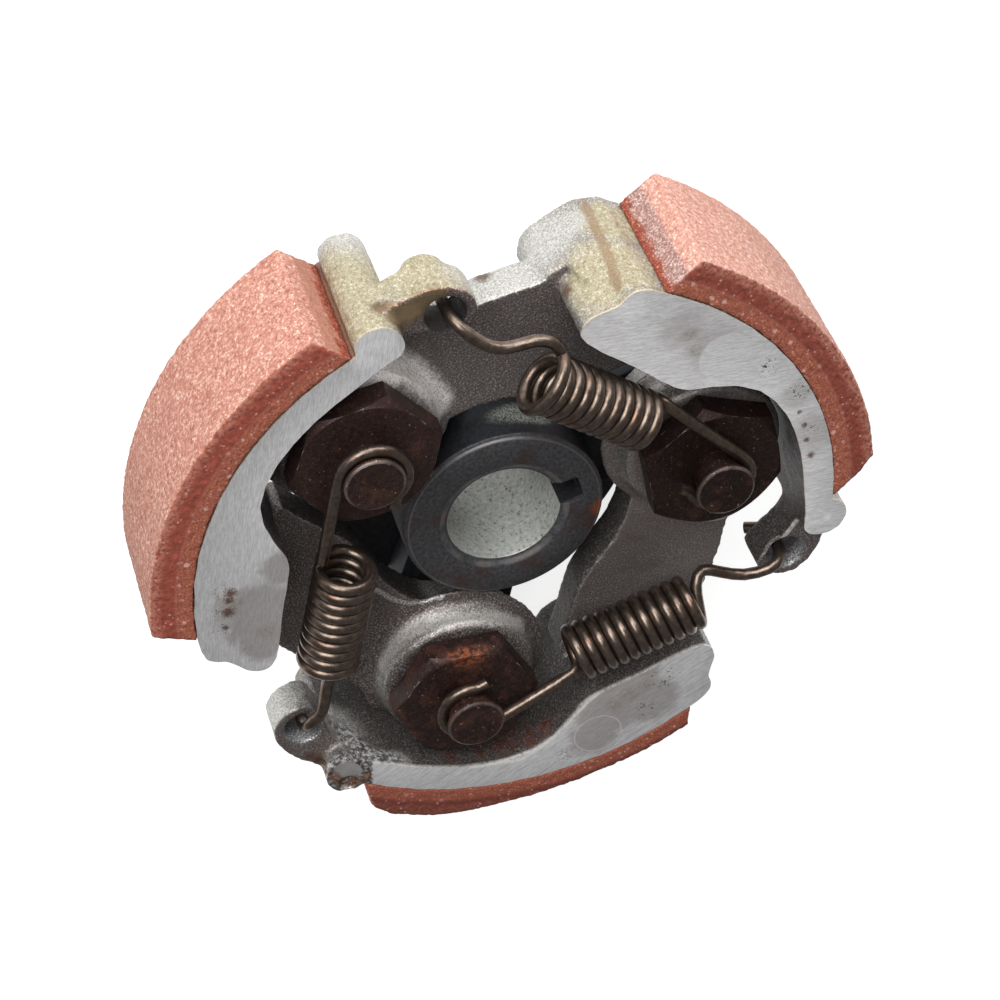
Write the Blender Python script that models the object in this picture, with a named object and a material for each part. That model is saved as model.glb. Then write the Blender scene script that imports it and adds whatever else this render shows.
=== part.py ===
"""Three-shoe centrifugal clutch, lying on its hub's back face with the springs up.

The clutch axis is +Z, and the origin is on it at the height of the centroid. Lengths below
are in millimetres, and are scaled to metres when meshes are made. Angles are in degrees,
counter-clockwise seen from the front.
Each shoe surrounds one pin, its guard pin, and swings on the next pin counter-clockwise.
"""

import math

import bmesh
import bpy
from mathutils import Matrix, Vector

MM = 0.001
GAP = 0.3

# Heights, from the hub's back face on GROUND up to FACE, the machined face of the shoes.
GROUND = -13.1
HUB_FOOT = 3.0
ARM_DEPTH = 7.2
WEB_DEPTH = 4.4
WEB_DROP = 7.6
FACE = GROUND + HUB_FOOT + ARM_DEPTH + GAP + WEB_DEPTH + WEB_DROP
WEB_FRONT = FACE - WEB_DROP
WEB_BACK = WEB_FRONT - WEB_DEPTH
SHOE_BEHIND_WEB = 3.9
SHOE_BACK = WEB_BACK - SHOE_BEHIND_WEB
LINING_STEP = 0.6
LINING_BACK = SHOE_BACK + LINING_STEP
BOSS_DROP = 4.3
BOSS_FRONT = FACE - BOSS_DROP
LUG_DROP = 2.4
LUG_DEPTH = 4.4
LUG_FRONT = FACE - LUG_DROP
LUG_BACK = LUG_FRONT - LUG_DEPTH
RING_DROP = 6.2
RING_FRONT = FACE - RING_DROP
HEX_BACK = BOSS_FRONT + GAP
HEX_DEPTH = 3.0
HEX_FRONT = HEX_BACK + HEX_DEPTH
STUB_RISE = 3.45
STUB_FRONT = HEX_FRONT + STUB_RISE
ARM_FRONT = WEB_BACK - GAP
ARM_BACK = ARM_FRONT - ARM_DEPTH
FLANGE_DROP = 3.7
FLANGE_DEPTH = 3.3
FLANGE_FRONT = ARM_FRONT - FLANGE_DROP
FLANGE_BACK = FLANGE_FRONT - FLANGE_DEPTH

# Radii, from the bore out through hub, bosses and rims.
BORE_R = 6.1
HUB_WALL = 4.8
HUB_R = BORE_R + HUB_WALL
HEX_R = 8.15
BOSS_LEDGE = 0.35
BOSS_R = HEX_R + BOSS_LEDGE
HUB_CLEARANCE = 2.6
PIN_PITCH = HUB_R + HUB_CLEARANCE + BOSS_R
RIM_CLEARANCE = 0.5
RIM_WALL = 3.3
RIM_OUTER = PIN_PITCH + BOSS_R + RIM_CLEARANCE + RIM_WALL

# Pins.
FIRST_PIN = 72.5
PIN_STEP = -120.0
HEX_TURNS = (-3.0, 25.0, 44.0)
HEX_CHAMFER = 0.75
THREAD_R = 3.4
SHANK_R = THREAD_R + 0.6
STUB_R = SHANK_R - 0.8
PIVOT_AHEAD = 120.0

# Hub.
BORE_CHAMFER = 0.5
BORE_FLARE = 0.8
RING_CHAMFER = 0.5
KEY_WIDTH = 3.2
KEY_DEPTH = 2.5
KEY_REACH = BORE_R + KEY_DEPTH
KEY_TURN = -121.0
FLANGE_R = HUB_R + 6.3
ARM_ROOT_R = HUB_R + 1.6
ARM_ROOT_TURN = 32.0
ARM_END_R = THREAD_R + 3.8

# Shoes.
WIRE_R = 0.62
PIVOT_BORE = SHANK_R + GAP
LUG_PITCH = RIM_OUTER - 2.3
LUG_TURN = -32.7
LUG_HOLE_R = WIRE_R + 1.36
WEB_SWEEP_R = RIM_OUTER - 4.1
FILLET_R = 1.9

# Linings.
LINING_INNER = RIM_OUTER + GAP
LINING_FROM = -16.0
LINING_TO = 50.0

# Springs.
COIL_R = 2.68
COIL_TURNS = 11
COIL_PITCH = 2.0 * WIRE_R + 0.06
COIL_TO_LUG = 11.2694
COIL_STEPS = 10
HOOK_R = STUB_R + GAP + WIRE_R

# Shoe outlines: how far inside RIM_OUTER each point is, and its angle from the guard pin.
BODY = (
    (2.6, -23.0), (2.8, -19.0), (3.2, -14.0), (3.3, -9.0), (3.3, -3.0), (3.3, 3.0),
    (3.4, 8.0), (3.7, 13.0), (4.3, 18.0), (5.6, 22.5), (7.4, 27.0), (9.1, 31.0),
    (9.6, 34.5), (9.55, 40.0), (9.0, 47.0), (8.0, 56.0), (6.9, 61.0), (5.9, 63.0),
    (4.8, 62.8), (3.8, 61.5), (3.0, 59.0), (2.2, 57.0), (1.1, 56.2), (0.3, 55.0),
    (-0.05, 52.5), (0.0, 49.0), (0.0, 43.0), (0.0, 37.0), (0.0, 31.0), (0.0, 25.0),
    (0.0, 19.0), (0.0, 13.0), (0.0, 7.0), (0.0, 1.0), (0.0, -5.0), (0.0, -11.0),
    (0.0, -16.6), (-1.0, -17.0), (-1.7, -18.4), (-2.0, -20.4), (-1.5, -22.8), (-0.4, -24.2),
    (0.9, -24.6), (1.9, -24.2),
)
FOOT = (
    (4.3, 48.0), (0.2, 50.0), (-0.3, 53.5), (0.4, 58.0), (1.6, 60.5), (2.9, 62.9),
    (4.1, 65.4), (5.3, 66.6), (7.5, 66.6), (8.3, 58.0),
)
# The end wall above the foot leans in from SKIRT_LOW to SKIRT_HIGH.
SKIRT_LOW = (
    (3.3, 50.0), (0.3, 50.0), (-0.2, 53.5), (0.5, 57.9), (1.7, 60.3), (2.8, 62.4),
    (4.1, 61.5), (4.7, 56.0),
)
SKIRT_HIGH = (
    (3.3, 50.0), (0.4, 50.0), (0.3, 52.3), (1.0, 55.3), (2.1, 56.3), (3.1, 58.2),
    (4.0, 60.6), (4.7, 56.0),
)
WEB_RIM_SIDE = (
    (7.3, 44.0), (5.0, 57.0), (4.5, 64.0), (5.4, 69.0), (6.0, 74.0), (6.5, 79.0),
    (7.2, 84.0), (7.4, 88.0), (7.0, 94.0), (5.8, 103.0), (4.7, 110.0),
)
# The web's edge by the hub: how far outside HUB_R, and angle.
WEB_HUB_SIDE = (
    (3.1, 109.0), (3.6, 102.0), (3.7, 94.0), (3.8, 84.0), (3.9, 74.0), (4.0, 64.0),
    (4.5, 55.0), (5.5, 47.5),
)
WEB_NOSE = (
    (15.9, 41.0), (12.7, 34.6), (10.3, 30.4), (7.1, 33.0),
)
LUG = (
    (2.4, -21.5), (2.6, -24.0), (3.0, -26.5), (3.6, -29.0), (4.3, -31.5), (5.0, -34.0),
    (5.1, -36.2), (4.2, -37.8), (2.8, -38.5), (1.3, -38.2), (0.0, -36.8), (-0.9, -34.4),
    (-1.4, -31.0), (-1.5, -27.5), (-1.3, -24.0), (-1.1, -21.5),
)
# Outer edge of each lining, (angle, thickness); the third is worn thin at one end.
LINING_EDGES = (
    ((-13.0, 4.2), (47.0, 4.2)),
    ((-12.0, 2.4), (-8.5, 4.2), (47.0, 4.2)),
    ((-12.5, 2.7), (-10.9, 3.3), (-7.9, 3.9), (0.0, 4.0), (6.0, 3.6), (13.0, 3.0),
     (22.0, 2.6), (29.0, 2.3), (47.0, 2.2)),
)
# Each spring: height of the hook on the stub, then sideways offset and height of the coil's
# axis at its stub end and at its lug end. Heights are above the shoes' machined faces.
SPRINGS = ((1.2, 0.2, 0.0, 0.0, 0.0), (0.3, 1.5, 0.2, 0.0, 0.6), (0.2, -0.2, -1.2, -0.1, -1.2))
# How far each hook reaches round its stub, and where the tip behind the lug ends.
HOOK_TURNS = (-225.0, -218.0, -218.0)
TIPS = (-0.8, -1.9, -2.7)
# The wire from the coil's lug end to the lug: distance past the coil, offset and height.
LEADS = (
    ((1.4, 2.5, 0.0), (2.9, 1.6, 0.0), (4.4, 0.4, 0.0), (6.6, 0.0, -0.2)),
    ((1.4, 2.5, 0.6), (2.9, 1.8, 0.6), (4.4, 0.6, 0.4), (6.4, 0.0, 0.0)),
    ((0.8, -2.9, -2.0), (2.0, -2.6, -2.0), (4.4, -0.9, -1.6), (7.0, 0.1, -1.5)),
)


def point(radius, angle, z=0.0):
    turn = math.radians(angle)
    return Vector((radius * math.cos(turn), radius * math.sin(turn), z))


def clear_scene():
    for obj in list(bpy.data.objects):
        bpy.data.objects.remove(obj)
    for name in ("clutch", "cutters"):
        collection = bpy.data.collections.new(name)
        bpy.context.scene.collection.children.link(collection)


def material(name, colour, metallic, roughness):
    found = bpy.data.materials.new(name)
    found.use_nodes = True
    shader = found.node_tree.nodes["Principled BSDF"]
    shader.inputs["Base Color"].default_value = (*colour, 1.0)
    shader.inputs["Metallic"].default_value = metallic
    shader.inputs["Roughness"].default_value = roughness
    return found


def helper(name, bm):
    """A hidden object made from bm, which holds millimetres."""
    bmesh.ops.scale(bm, vec=(MM, MM, MM), verts=bm.verts)
    bmesh.ops.recalc_face_normals(bm, faces=bm.faces)
    mesh = bpy.data.meshes.new(name)
    bm.to_mesh(mesh)
    bm.free()
    obj = bpy.data.objects.new(name, mesh)
    bpy.data.collections["cutters"].objects.link(obj)
    obj.hide_render = True
    obj.display_type = "WIRE"
    return obj


def prism(name, outline, low, high):
    bm = bmesh.new()
    face = bm.faces.new([bm.verts.new((p[0], p[1], low)) for p in outline])
    made = bmesh.ops.extrude_face_region(bm, geom=[face])
    moved = [v for v in made["geom"] if isinstance(v, bmesh.types.BMVert)]
    bmesh.ops.translate(bm, vec=(0, 0, high - low), verts=moved)
    return helper(name, bm)


def polar_prism(name, outline, low, high):
    return prism(name, [point(*p) for p in outline], low, high)


def inside_rim(outline):
    """Polar points from a table of depths inside the rim's outer radius."""
    return [(RIM_OUTER - depth, angle) for depth, angle in outline]


def web_outline():
    hub_side = [(HUB_R + off, angle) for off, angle in WEB_HUB_SIDE]
    boss = (PIN_PITCH, PIVOT_AHEAD - 2.0)
    return [*inside_rim(WEB_RIM_SIDE), boss, *hub_side, *inside_rim(WEB_NOSE)]


def tapered(name, low_outline, high_outline, low, high):
    """A solid between two of the shoe outlines, which have as many points each."""
    bm = bmesh.new()
    bottom = [bm.verts.new(point(*p, low)) for p in inside_rim(low_outline)]
    top = [bm.verts.new(point(*p, high)) for p in inside_rim(high_outline)]
    bm.faces.new(bottom)
    bm.faces.new(top)
    for i in range(len(bottom)):
        bm.faces.new((bottom[i - 1], bottom[i], top[i], top[i - 1]))
    return helper(name, bm)


def lathe(name, profile, centre=(0.0, 0.0), sides=48):
    """A solid of revolution about +Z; profile is (radius, z) with both ends on the axis or closed."""
    bm = bmesh.new()
    x, y = centre
    rings = []
    for radius, z in profile:
        if radius == 0.0:
            rings.append([bm.verts.new((x, y, z))])
            continue
        turns = [point(radius, 360.0 * i / sides, z) for i in range(sides)]
        rings.append([bm.verts.new((x + p.x, y + p.y, p.z)) for p in turns])
    for first, second in zip(rings, rings[1:]):
        for i in range(sides):
            j = (i + 1) % sides
            corners = [first[i % len(first)], first[j % len(first)]]
            corners += [second[j % len(second)], second[i % len(second)]]
            unique = list(dict.fromkeys(corners))
            bm.faces.new(unique)
    return helper(name, bm)


def disc(name, radius, low, high, centre=(0.0, 0.0), sides=32):
    return lathe(name, ((0.0, low), (radius, low), (radius, high), (0.0, high)), centre, sides)


def join(base, other, how):
    step = base.modifiers.new(other.name, "BOOLEAN")
    step.operation = how
    step.solver = "EXACT"
    step.object = other
    return base


def baked(obj, name):
    """The object's shape with its modifiers in it, as a mesh of its own."""
    graph = bpy.context.evaluated_depsgraph_get()
    graph.update()
    mesh = bpy.data.meshes.new_from_object(obj.evaluated_get(graph))
    mesh.name = name
    return mesh


def place(name, mesh, look, origin=(0.0, 0.0, 0.0), turn=0.0):
    """A visible piece; the mesh is in metres about origin, and origin is in millimetres."""
    obj = bpy.data.objects.new(name, mesh)
    bpy.data.collections["clutch"].objects.link(obj)
    obj.location = Vector(origin) * MM
    obj.rotation_euler = (0.0, 0.0, math.radians(turn))
    mesh.materials.clear()
    mesh.materials.append(look)
    return obj


def pin_angle(index):
    return FIRST_PIN + PIN_STEP * index


def about_pivot(mesh):
    """Moves a shoe-frame mesh so that its pivot is at the mesh's own origin."""
    pivot = point(PIN_PITCH, PIVOT_AHEAD) * MM
    mesh.transform(Matrix.Translation(-pivot))
    return mesh


def spider_outline():
    """Three arms in one outline, each ending in a round eye about its pin."""
    outline = []
    for index in reversed(range(3)):
        turn = pin_angle(index)
        pin = point(PIN_PITCH, turn)
        outline.append(point(ARM_ROOT_R, turn - ARM_ROOT_TURN))
        outline += [pin + point(ARM_END_R, turn + 15.0 * i) for i in range(-6, 7)]
        outline.append(point(ARM_ROOT_R, turn + ARM_ROOT_TURN))
    return outline


def build_hub(look):
    hub = lathe(
        "hub_blank",
        (
            (0.0, GROUND),
            (HUB_R - RING_CHAMFER, GROUND),
            (HUB_R, GROUND + RING_CHAMFER),
            (HUB_R, RING_FRONT - RING_CHAMFER),
            (HUB_R - RING_CHAMFER, RING_FRONT),
            (0.0, RING_FRONT),
        ),
        sides=64,
    )
    join(hub, disc("flange", FLANGE_R, FLANGE_BACK, FLANGE_FRONT, sides=64), "UNION")
    join(hub, prism("spider", spider_outline(), ARM_BACK, ARM_FRONT), "UNION")
    for index in range(3):
        pin = point(PIN_PITCH, pin_angle(index))
        centre = (pin.x, pin.y)
        hole = disc(f"arm_hole_{index}", THREAD_R + GAP, ARM_BACK - 2, ARM_FRONT + 2, centre, 24)
        join(hub, hole, "DIFFERENCE")
    mouth = BORE_R + BORE_FLARE
    bore = lathe(
        "bore",
        (
            (0.0, GROUND - 1.0),
            (mouth, GROUND - 1.0),
            (mouth, GROUND),
            (BORE_R, GROUND + BORE_CHAMFER),
            (BORE_R, RING_FRONT - BORE_CHAMFER),
            (mouth, RING_FRONT),
            (mouth, RING_FRONT + 1.0),
            (0.0, RING_FRONT + 1.0),
        ),
        sides=64,
    )
    join(hub, bore, "DIFFERENCE")
    turn = FIRST_PIN + KEY_TURN
    along = point(1.0, turn)
    side = point(0.5 * KEY_WIDTH, turn + 90.0)
    slot = [along * 2.0 - side, along * KEY_REACH - side]
    slot += [along * KEY_REACH + side, along * 2.0 + side]
    join(hub, prism("keyway", slot, GROUND - 1.0, RING_FRONT + 1.0), "DIFFERENCE")
    place("hub", baked(hub, "hub"), look)


def hexagon(turn):
    return [point(HEX_R, turn + 60.0 * i) for i in range(6)]


def build_bolt(index, look):
    turn = pin_angle(index)
    bolt = prism(f"hex_{index}", hexagon(turn + HEX_TURNS[index]), HEX_BACK, HEX_FRONT)
    flat = HEX_R * math.cos(math.pi / 6)
    dome = lathe(
        f"hex_dome_{index}",
        (
            (0.0, HEX_BACK - 1.0),
            (HEX_R + 1.0, HEX_BACK - 1.0),
            (HEX_R + 1.0, HEX_FRONT - HEX_CHAMFER * (HEX_R + 1.0 - flat)),
            (flat, HEX_FRONT + 0.01),
            (0.0, HEX_FRONT + 0.01),
        ),
    )
    join(bolt, dome, "INTERSECT")
    end = ARM_BACK + 0.5
    shank = lathe(
        f"shank_{index}",
        (
            (0.0, end),
            (THREAD_R - 0.4, end),
            (THREAD_R, end + 0.4),
            (THREAD_R, ARM_FRONT + GAP),
            (SHANK_R, ARM_FRONT + GAP),
            (SHANK_R, HEX_BACK + 0.5),
            (STUB_R, HEX_BACK + 0.5),
            (STUB_R, STUB_FRONT - 0.3),
            (STUB_R - 0.3, STUB_FRONT),
            (0.0, STUB_FRONT),
        ),
        sides=32,
    )
    join(bolt, shank, "UNION")
    place(f"pivot_bolt_{index + 1}", baked(bolt, f"pivot_bolt_{index + 1}"), look, point(PIN_PITCH, turn))


def build_shoe_mesh():
    shoe = polar_prism("shoe_body", inside_rim(BODY), SHOE_BACK, FACE)
    pivot = point(PIN_PITCH, PIVOT_AHEAD)
    centre = (pivot.x, pivot.y)
    foot = polar_prism("shoe_foot", inside_rim(FOOT), SHOE_BACK + 0.01, WEB_FRONT - 0.02)
    join(shoe, foot, "UNION")
    skirt = tapered("shoe_skirt", SKIRT_LOW, SKIRT_HIGH, WEB_FRONT - 0.6, FACE - 1.0)
    join(shoe, skirt, "UNION")
    web = polar_prism("shoe_web", web_outline(), WEB_BACK, WEB_FRONT)
    boss = lathe(
        "shoe_boss",
        (
            (0.0, WEB_BACK + 0.01),
            (BOSS_R, WEB_BACK + 0.01),
            (BOSS_R, BOSS_FRONT - 0.5),
            (BOSS_R - 0.5, BOSS_FRONT),
            (0.0, BOSS_FRONT),
        ),
        centre,
    )
    steps = [math.radians(30.0 * i) for i in range(4)]
    curve = [
        (BOSS_R + FILLET_R * (1.0 - math.sin(a)), WEB_FRONT + FILLET_R * (1.0 - math.cos(a)))
        for a in steps
    ]
    flare = lathe(
        "shoe_flare",
        [(0.0, WEB_FRONT - 0.5), (BOSS_R + FILLET_R, WEB_FRONT - 0.5), *curve, (0.0, curve[-1][1])],
        centre,
    )
    join(flare, disc("sweep", WEB_SWEEP_R, GROUND, FACE + 5.0, sides=64), "INTERSECT")
    join(web, boss, "UNION")
    join(web, flare, "UNION")
    join(shoe, web, "UNION")
    join(shoe, polar_prism("shoe_lug", inside_rim(LUG), LUG_BACK, LUG_FRONT), "UNION")
    hook = point(LUG_PITCH, LUG_TURN)
    eye = lathe(
        "lug_hole",
        (
            (0.0, SHOE_BACK),
            (LUG_HOLE_R, SHOE_BACK),
            (LUG_HOLE_R, LUG_FRONT - 0.4),
            (LUG_HOLE_R + 0.5, LUG_FRONT + 0.1),
            (0.0, LUG_FRONT + 0.1),
        ),
        (hook.x, hook.y),
        20,
    )
    join(shoe, eye, "DIFFERENCE")
    join(shoe, disc("pivot_bore", PIVOT_BORE, GROUND, FACE + 5.0, centre), "DIFFERENCE")
    return about_pivot(baked(shoe, "shoe"))


def build_lining_mesh(edge):
    """A lining whose outer edge runs through the points of edge."""
    steps = 22
    sweep = LINING_TO - LINING_FROM
    outline = [(LINING_INNER, LINING_FROM + sweep * i / steps) for i in range(steps + 1)]
    for (high, last), (low, first) in zip(edge[::-1], edge[-2::-1]):
        parts = max(1, round((high - low) * steps / sweep))
        for i in range(parts):
            share = i / parts
            thickness = last + (first - last) * share
            outline.append((LINING_INNER + thickness, high + (low - high) * share))
    outline.append((LINING_INNER + edge[0][1], edge[0][0]))
    lining = polar_prism("lining_blank", outline, LINING_BACK, FACE)
    return about_pivot(baked(lining, "lining"))


def spring_path(index):
    """Points of the spring's wire, from the hook on its stub to the tip behind the lug."""
    turn = pin_angle(index)
    stub = point(PIN_PITCH, turn)
    hole = point(LUG_PITCH, turn + PIVOT_AHEAD + LUG_TURN)
    along = (hole - stub).normalized()
    out = Vector((along.y, -along.x, 0.0))
    up = Vector((0.0, 0.0, 1.0))
    reach = (hole - stub).length
    coil_start = reach - COIL_TO_LUG - COIL_TURNS * COIL_PITCH
    hook, first_out, first_up, last_out, last_up = SPRINGS[index]

    def at(t, lateral, height):
        return stub + along * t + out * lateral + up * (FACE + height)

    flare = math.radians(HOOK_TURNS[index] - 6.0)
    path = [at(1.3 * HOOK_R * math.sin(flare), 1.3 * HOOK_R * math.cos(flare), hook)]
    for step in range(12, -1, -1):
        swing = math.radians(-14.0 + (HOOK_TURNS[index] + 20.0) * step / 12.0)
        path.append(at(HOOK_R * math.sin(swing), HOOK_R * math.cos(swing), hook))
    path.append(at(0.6, HOOK_R, hook))
    half = 0.55 * coil_start
    path.append(at(half, 0.5 * (HOOK_R + COIL_R + first_out), 0.5 * (hook + first_up)))
    for step in range(COIL_TURNS * COIL_STEPS + 1):
        share = step / (COIL_TURNS * COIL_STEPS)
        swing = 2.0 * math.pi * step / COIL_STEPS
        lateral = first_out + (last_out - first_out) * share + COIL_R * math.cos(swing)
        height = first_up + (last_up - first_up) * share - COIL_R * math.sin(swing)
        if index == 2 and share > 0.999 - 0.5 / COIL_TURNS:
            break
        path.append(at(coil_start + COIL_PITCH * step / COIL_STEPS, lateral, height))
    end = reach - COIL_TO_LUG
    path += [at(end + t, lateral, height) for t, lateral, height in LEADS[index]]
    lug = LUG_FRONT - FACE
    path.append(at(reach - 2.2, 0.0, lug + 1.3))
    path.append(at(reach - 0.9, 0.0, lug + 0.6))
    path.append(at(reach - 0.4, 0.0, lug - 0.9))
    path.append(at(reach - 0.3, 0.0, lug - 3.6))
    path.append(at(reach - 0.3 + 0.3 * TIPS[index], 0.0, lug - 5.0))
    path.append(at(reach + TIPS[index], 0.0, lug - 5.8))
    return path


def build_spring(index, look):
    curve = bpy.data.curves.new(f"wire_{index}", "CURVE")
    curve.dimensions = "3D"
    curve.bevel_depth = WIRE_R * MM
    curve.bevel_resolution = 2
    curve.use_fill_caps = True
    path = spring_path(index)
    spline = curve.splines.new("POLY")
    spline.points.add(len(path) - 1)
    anchor = point(PIN_PITCH, pin_angle(index))
    for slot, place_at in zip(spline.points, path):
        slot.co = (*((place_at - anchor) * MM), 1.0)
    wire = bpy.data.objects.new(f"wire_{index}", curve)
    bpy.data.collections["cutters"].objects.link(wire)
    wire.hide_render = True
    mesh = baked(wire, f"spring_{index + 1}")
    bm = bmesh.new()
    bm.from_mesh(mesh)
    bmesh.ops.remove_doubles(bm, verts=bm.verts, dist=1e-6)
    bmesh.ops.recalc_face_normals(bm, faces=bm.faces)
    bm.to_mesh(mesh)
    bm.free()
    place(f"spring_{index + 1}", mesh, look, anchor)


def main():
    clear_scene()
    steel = material("dark_steel", (0.05, 0.05, 0.055), 0.9, 0.5)
    rusty = material("rusty_steel", (0.08, 0.04, 0.03), 0.5, 0.7)
    cast = material("cast_metal", (0.22, 0.2, 0.18), 0.7, 0.55)
    friction = material("friction_lining", (0.45, 0.16, 0.11), 0.0, 0.85)
    wire = material("spring_wire", (0.16, 0.12, 0.09), 0.9, 0.4)
    build_hub(steel)
    shoe = build_shoe_mesh()
    linings = [build_lining_mesh(edge) for edge in LINING_EDGES]
    for index, letter in enumerate("abc"):
        build_bolt(index, rusty)
        turn = pin_angle(index)
        pivot = point(PIN_PITCH, turn + PIVOT_AHEAD)
        place(f"shoe_{letter}", shoe.copy(), cast, pivot, turn)
        place(f"lining_{letter}", linings[index], friction, pivot, turn)
        build_spring(index, wire)


main()
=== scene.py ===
"""The look of the centrifugal clutch: cast shoes, friction linings, hub, bolts and springs."""

import math
from functools import reduce

import bmesh
import bpy
from mathutils import Matrix, Vector, noise


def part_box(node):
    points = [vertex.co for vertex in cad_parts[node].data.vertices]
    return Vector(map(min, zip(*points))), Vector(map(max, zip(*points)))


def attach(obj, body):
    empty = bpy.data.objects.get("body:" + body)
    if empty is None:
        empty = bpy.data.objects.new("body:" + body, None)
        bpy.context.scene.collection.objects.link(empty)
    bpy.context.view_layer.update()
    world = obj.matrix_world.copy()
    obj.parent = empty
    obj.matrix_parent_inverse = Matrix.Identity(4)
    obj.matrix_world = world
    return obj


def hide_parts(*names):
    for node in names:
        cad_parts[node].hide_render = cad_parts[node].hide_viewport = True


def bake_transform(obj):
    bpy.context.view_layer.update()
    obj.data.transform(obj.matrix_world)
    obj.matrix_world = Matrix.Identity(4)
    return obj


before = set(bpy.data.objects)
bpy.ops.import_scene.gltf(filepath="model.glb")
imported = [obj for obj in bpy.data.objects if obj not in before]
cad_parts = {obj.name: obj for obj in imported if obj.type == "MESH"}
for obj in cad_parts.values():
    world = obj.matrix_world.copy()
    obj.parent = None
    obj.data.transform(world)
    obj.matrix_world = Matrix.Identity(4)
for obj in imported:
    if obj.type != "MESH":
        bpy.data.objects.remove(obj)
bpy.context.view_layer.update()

MM = 0.001
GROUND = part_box("hub")[0].z
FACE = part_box("shoe_a")[1].z
RING_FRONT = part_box("hub")[1].z
STUB_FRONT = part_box("pivot_bolt_1")[1].z

# Lengths in millimetres and angles in degrees, as the clutch was drawn. Three values in a row are for
# shoes a, b and c, or for bolts or springs 1, 2 and 3.
PIN_PITCH = 22.0
PIN_ANGLES = (72.5, -47.5, -167.5)
LETTERS = "abc"
HEX_R = 8.15
HEX_TURNS = (-3.0, 25.0, 44.0)
HEAD_FRONT = FACE / MM - 1.0
STUB_R = 3.2
NECK_R = 2.62
CROWN_DEPTH = 0.6
SHANK_R = 4.0
THREAD_R = 3.4
THREAD_LENGTH = 7.0
PIVOT_BOSS_R = 9.2
BOSS_FRONT = FACE / MM - 4.3
HUB_R = 10.9
BORE_R = 6.1
BORE_MOUTH_R = 6.9
KEY_ANGLE = -48.5
KEY_WIDTH = 3.2
KEY_REACH = 8.6
PLATE_BACK = FACE / MM - 19.5
FLANGE_R = 17.2
FLANGE_DEPTH = 3.5
ARM_DEPTH = 7.2
ARM_END_R = 7.2
ARM_ROOT_R = 12.5
ARM_ROOT_TURN = 32.0
ARM_HOLE_R = 3.6
RIM_R = 34.3
LUG_DROP = 2.4
LUG_FRONT = FACE / MM - LUG_DROP
LUG_DEPTH = 4.4
LUG_HOLE_R = 2.0
LINING_THICKNESS = (4.2, 4.2, 3.0)
LUG_PITCH = 32.0
LUG_TURN = -32.7
STUB_TO_LUG_TURN = 87.3
WIRE_R = 0.67
COIL_R = 2.68
COIL_TURNS = 11
COIL_START = 12.4
COIL_PITCH = 1.3
HOOK_RADII = (3.55, 3.4, 3.3)
HOOK_TURNS = (-225.0, -218.0, -218.0)
# For each spring its hook's height over the faces, then how far out and up its coil is at both ends.
SPRINGS = ((1.2, 0.2, 0.0, 0.0, 0.0), (0.3, 1.5, 0.2, 0.0, 0.6), (0.2, -0.2, -1.2, -0.1, -1.2))
# How much the last turn widens, and which share of it is left off.
END_SWELL = (0.0, 0.95, 0.0)
COIL_CUT = (0.72, 0.0, 0.13)
# The wire between coil and lug, as (along, out, height over the faces), then in the lug, as (along from
# its hole, height over it), and where its tip is.
LEADS = (
    ((-0.3, -1.5, -2.4), (1.0, -1.6, -1.9), (3.3, -1.0, -1.2), (6.4, -1.1, -1.0), (8.1, -1.0, -1.1)),
    ((0.8, 4.05, 0.6), (2.1, 4.15, 0.4), (3.3, 3.4, 0.2), (4.3, 1.85, 0.0), (5.5, 0.6, -0.1),
     (7.2, 0.1, -0.4)),
    ((0.3, -0.4, -0.3), (0.8, -2.1, -1.5), (2.1, -3.2, -2.4), (3.9, -1.6, -2.2), (6.1, 0.3, -2.0)),
)
LUG_HOOK = ((-2.2, 1.3), (-0.9, 0.6), (-0.4, -0.9), (-0.3, -3.6))
TIPS = (-0.8, -1.9, -2.7)

# The camera that the photograph was taken with, in the clutch's frame.
CAMERA_AT = Vector((149.51745534, 144.76094234, 203.53402378 + FACE / MM)) * MM
CAMERA_RIGHT = Vector((0.43958133, -0.85524448, 0.27445426))
CAMERA_UP = Vector((0.74454545, 0.17603778, -0.64394315))
CAMERA_BACK = Vector((0.50241451, 0.48740905, 0.7141513))
CAMERA_LENS = 101.41
CAMERA_SENSOR = 36.0

FLOOR_SIZE = 6.0
FLOOR_GREY = 0.8
FLOOR_GLOW = 0.72
SKY_STRENGTH = 0.2

# Marks on the machined faces, read off the photograph, as (x, y, radius) in millimetres.
TINTS = (
    ((-13.6, 23.6, 4.6), (-7.0, 24.0, 2.6), (-17.0, 22.0, 2.6)),
    ((29.7, -7.0, 2.9), (30.9, -2.6, 2.3), (22.6, -23.5, 2.6), (26.5, -19.0, 1.6)),
    ((-19.0, -21.0, 3.6), (-14.5, -21.6, 3.4), (-22.2, -21.0, 2.9), (-16.0, -25.0, 3.4)),
)
DISCS = ((-5.4, 31.2, 4.1), (29.0, -9.0, 2.95), (-22.0, -21.4, 2.65))
STAINS = (
    ((-11.5, 28.3, 0.55), (-12.5, 28.1, 0.5), (-14.0, 27.5, 0.6), (-16.1, 26.9, 0.3)),
    ((23.3, -22.1, 0.3), (21.6, -23.4, 0.3), (19.9, -25.0, 0.4), (24.7, -20.6, 0.25)),
    ((-34.2, 3.8, 0.8), (-33.6, 4.6, 0.5)),
)
SMUDGES = (
    ((-15.7, 22.5, 0.9), (-12.9, 27.9, 1.4)),
    ((30.4, -3.7, 0.9), (28.9, -5.3, 0.8)),
    ((-17.6, -21.3, 1.0), (-15.8, -22.3, 1.1), (-14.2, -23.3, 0.9)),
)
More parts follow.
